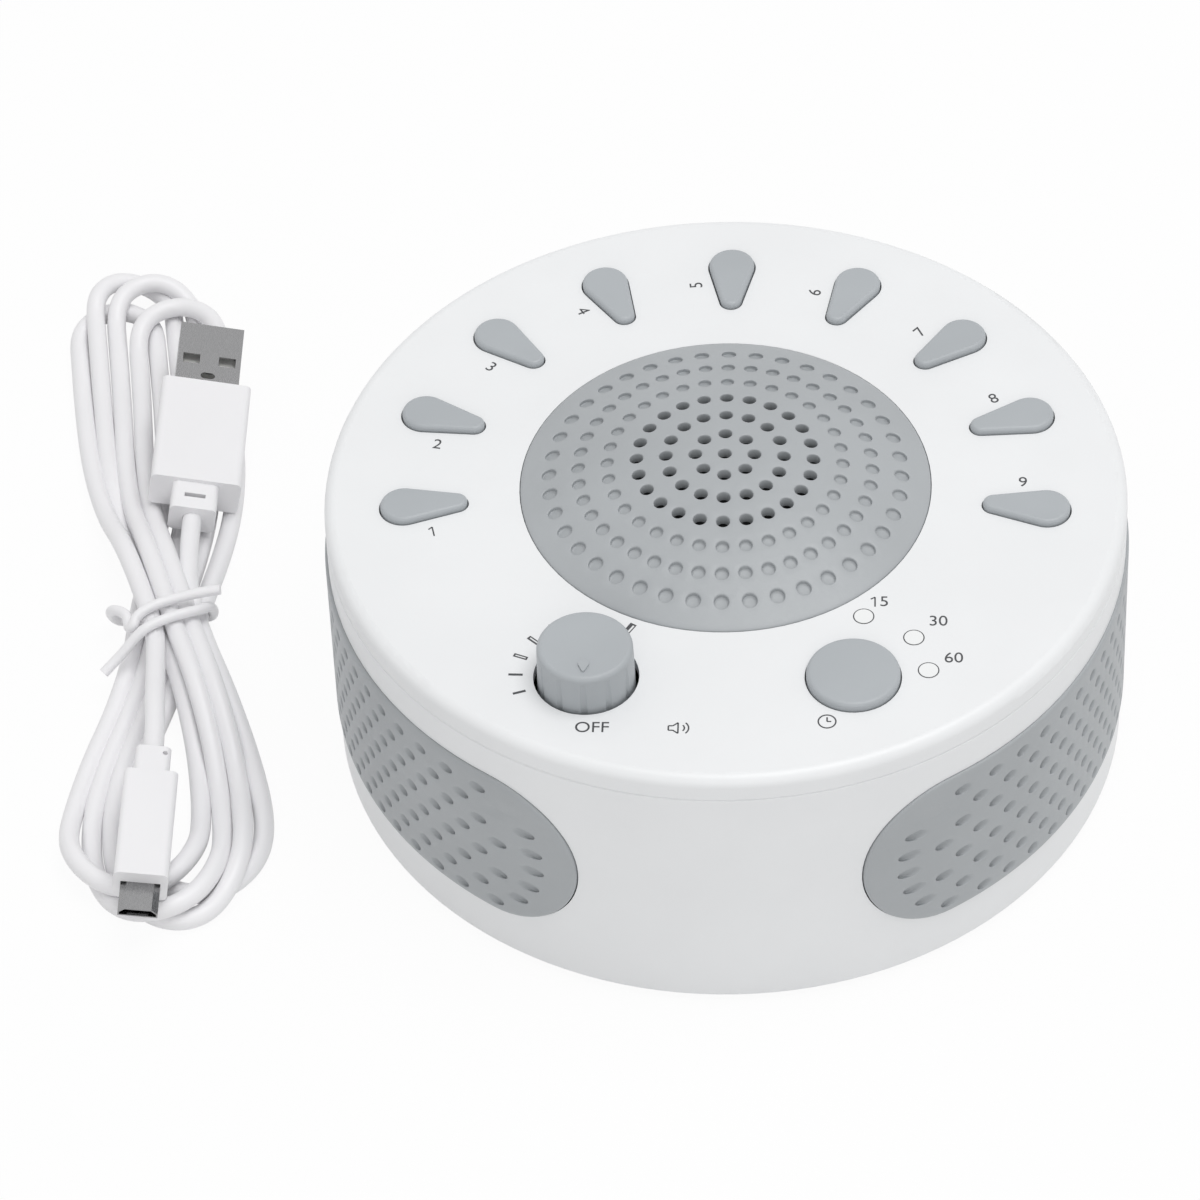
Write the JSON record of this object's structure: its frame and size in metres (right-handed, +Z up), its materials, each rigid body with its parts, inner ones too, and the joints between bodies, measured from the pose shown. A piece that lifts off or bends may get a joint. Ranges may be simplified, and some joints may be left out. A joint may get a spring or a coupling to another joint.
{
  "type": "white noise sound machine",
  "caption": "Round table-top sleep sound machine with a domed speaker grille, sound keys, timer key, volume knob and a tied USB power cable.",
  "frame": {"origin": "on the table under the centre of the round machine, at the underside of its feet; the tied cable lies at its left", "axes": "+Z up through the centre of the speaker grille, +X right, -Y front, where the volume knob and timer key are"},
  "size_m": [0.2008, 0.1802, 0.0628],
  "materials": {
    "white_shell": "fine moulded white ABS, soft sheen",
    "grey_grille": "moulded grey ABS, fine satin",
    "grey_control": "moulded grey ABS, satin",
    "rubber": "soft matt",
    "screw_steel": "zinc plated",
    "switch_black": "moulded black",
    "shaft_plastic": "moulded nylon",
    "pot_steel": "tinned steel case",
    "lens": "milky light pipe",
    "lamp": "LED chip",
    "board": "green solder mask",
    "speaker_steel": "black coated pressed steel",
    "cone_paper": "coated paper pulp",
    "magnet": "sintered ferrite",
    "usb_steel": "nickel plated shell",
    "usb_insulator": "white moulded insulator with contacts",
    "wire_red": "PVC wire",
    "wire_black": "PVC wire",
    "cable_white": "soft white PVC"
  },
  "bodies": {
    "housing": {"top_cover": "white_shell", "lower_housing": "white_shell", "bottom_cover": "white_shell", "centre_grille": "grey_grille", "left_side_grille": "grey_grille", "right_side_grille": "grey_grille", "rubber_feet": "rubber", "case_screws": "screw_steel", "board_screws": "screw_steel", "speaker_screws": "screw_steel", "switch_bodies": "switch_black", "potentiometer": "pot_steel", "timer_lens_15": "lens", "timer_lens_30": "lens", "timer_lens_60": "lens", "timer_lamps": "lamp", "main_board": "board", "power_board": "board", "audio_chip": "switch_black", "speaker_frame": "speaker_steel", "speaker_surround": "rubber", "speaker_cone": "cone_paper", "dust_cap": "cone_paper", "speaker_magnet": "magnet", "speaker_yoke": "speaker_steel", "usb_socket": "usb_steel", "speaker_wires": "wire_red", "power_wires": "wire_black", "usb_a_shell": "usb_steel", "usb_a_insulator": "usb_insulator", "usb_a_overmould": "cable_white", "micro_usb_shell": "usb_steel", "micro_usb_overmould": "cable_white", "cable_hank": "cable_white", "cable_lead_usb": "cable_white", "cable_lead_micro": "cable_white", "cable_tie": "cable_white"},
    "sound_key_1": {"sound_button_1": "grey_control", "sound_plunger_1": "switch_black"},
    "sound_key_2": {"sound_button_2": "grey_control", "sound_plunger_2": "switch_black"},
    "sound_key_3": {"sound_button_3": "grey_control", "sound_plunger_3": "switch_black"},
    "sound_key_4": {"sound_button_4": "grey_control", "sound_plunger_4": "switch_black"},
    "sound_key_5": {"sound_button_5": "grey_control", "sound_plunger_5": "switch_black"},
    "sound_key_6": {"sound_button_6": "grey_control", "sound_plunger_6": "switch_black"},
    "sound_key_7": {"sound_button_7": "grey_control", "sound_plunger_7": "switch_black"},
    "sound_key_8": {"sound_button_8": "grey_control", "sound_plunger_8": "switch_black"},
    "sound_key_9": {"sound_button_9": "grey_control", "sound_plunger_9": "switch_black"},
    "timer_key": {"timer_button": "grey_control", "timer_plunger": "switch_black"},
    "volume_knob": {"volume_knob": "grey_control", "pot_shaft": "shaft_plastic"}
  },
  "joints": [
    {"name": "sound_key_1_press", "type": "slide", "parent": "housing", "child": "sound_key_1", "axis": [0, 0, -1], "range_m": [0, 0.0006], "stiffness_N_per_m": 900, "springref_m": -0.0009},
    {"name": "sound_key_2_press", "type": "slide", "parent": "housing", "child": "sound_key_2", "axis": [0, 0, -1], "range_m": [0, 0.0006], "stiffness_N_per_m": 900, "springref_m": -0.0009},
    {"name": "sound_key_3_press", "type": "slide", "parent": "housing", "child": "sound_key_3", "axis": [0, 0, -1], "range_m": [0, 0.0006], "stiffness_N_per_m": 900, "springref_m": -0.0009},
    {"name": "sound_key_4_press", "type": "slide", "parent": "housing", "child": "sound_key_4", "axis": [0, 0, -1], "range_m": [0, 0.0006], "stiffness_N_per_m": 900, "springref_m": -0.0009},
    {"name": "sound_key_5_press", "type": "slide", "parent": "housing", "child": "sound_key_5", "axis": [0, 0, -1], "range_m": [0, 0.0006], "stiffness_N_per_m": 900, "springref_m": -0.0009},
    {"name": "sound_key_6_press", "type": "slide", "parent": "housing", "child": "sound_key_6", "axis": [0, 0, -1], "range_m": [0, 0.0006], "stiffness_N_per_m": 900, "springref_m": -0.0009},
    {"name": "sound_key_7_press", "type": "slide", "parent": "housing", "child": "sound_key_7", "axis": [0, 0, -1], "range_m": [0, 0.0006], "stiffness_N_per_m": 900, "springref_m": -0.0009},
    {"name": "sound_key_8_press", "type": "slide", "parent": "housing", "child": "sound_key_8", "axis": [0, 0, -1], "range_m": [0, 0.0006], "stiffness_N_per_m": 900, "springref_m": -0.0009},
    {"name": "sound_key_9_press", "type": "slide", "parent": "housing", "child": "sound_key_9", "axis": [0, 0, -1], "range_m": [0, 0.0006], "stiffness_N_per_m": 900, "springref_m": -0.0009},
    {"name": "timer_key_press", "type": "slide", "parent": "housing", "child": "timer_key", "axis": [0, 0, -1], "range_m": [0, 0.0006], "stiffness_N_per_m": 900, "springref_m": -0.0009},
    {"name": "volume_turn", "type": "hinge", "parent": "housing", "child": "volume_knob", "pos_m": [-0.02219, -0.0457, 0.055], "axis": [0, 0, -1], "range_deg": [0, 212]}
  ]
}
